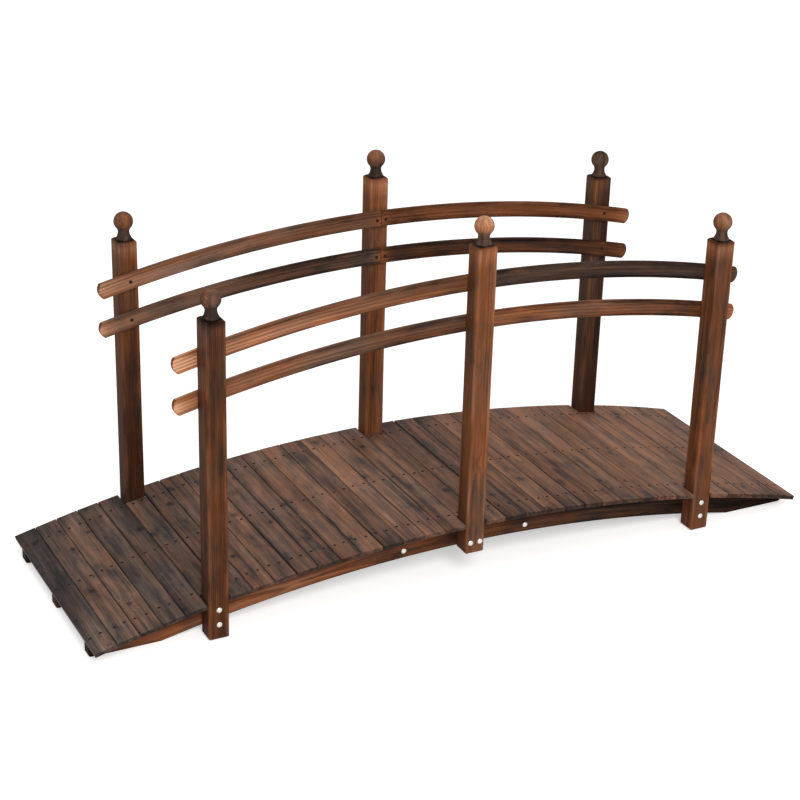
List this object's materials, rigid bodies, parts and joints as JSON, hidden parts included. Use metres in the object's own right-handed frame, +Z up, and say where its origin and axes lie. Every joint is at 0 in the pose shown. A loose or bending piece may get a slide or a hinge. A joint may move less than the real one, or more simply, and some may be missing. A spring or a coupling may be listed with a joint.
{
  "type": "arched garden footbridge",
  "caption": "Low arched timber garden footbridge with cross boards on curved bearers, square posts with ball finials and paired curved hand rails on both sides.",
  "frame": {"origin": "on the ground under the middle of the deck", "axes": "+X along the bridge, +Y across it to the back, +Z up"},
  "size_m": [2.1072, 0.67, 1.0161],
  "materials": {
    "deck_wood": "stained, scorched and weathered, satin",
    "bearer_wood": "stained, satin",
    "post_wood": "stained, satin",
    "finial_wood": "turned, satin",
    "rail_wood": "stained, satin",
    "zinc_steel": "zinc plated",
    "dark_steel": "dulled nail heads"
  },
  "bodies": {
    "root": {"deck_boards_left_end": "deck_wood", "post_board_left": "deck_wood", "deck_boards_left_bay": "deck_wood", "post_board_mid": "deck_wood", "deck_boards_right_bay": "deck_wood", "post_board_right": "deck_wood", "deck_boards_right_end": "deck_wood", "stringer_front_left": "bearer_wood", "stringer_front_right": "bearer_wood", "stringer_mid_left": "bearer_wood", "stringer_mid_right": "bearer_wood", "stringer_back_left": "bearer_wood", "stringer_back_right": "bearer_wood", "splice_front": "bearer_wood", "splice_mid": "bearer_wood", "splice_back": "bearer_wood", "post_front_left": "post_wood", "post_front_mid": "post_wood", "post_front_right": "post_wood", "post_back_left": "post_wood", "post_back_mid": "post_wood", "post_back_right": "post_wood", "finial_front_left": "finial_wood", "finial_front_mid": "finial_wood", "finial_front_right": "finial_wood", "finial_back_left": "finial_wood", "finial_back_mid": "finial_wood", "finial_back_right": "finial_wood", "rail_upper_front_left": "rail_wood", "rail_upper_front_right": "rail_wood", "rail_lower_front_left": "rail_wood", "rail_lower_front_right": "rail_wood", "rail_upper_back_left": "rail_wood", "rail_upper_back_right": "rail_wood", "rail_lower_back_left": "rail_wood", "rail_lower_back_right": "rail_wood"}
  },
  "joints": []
}
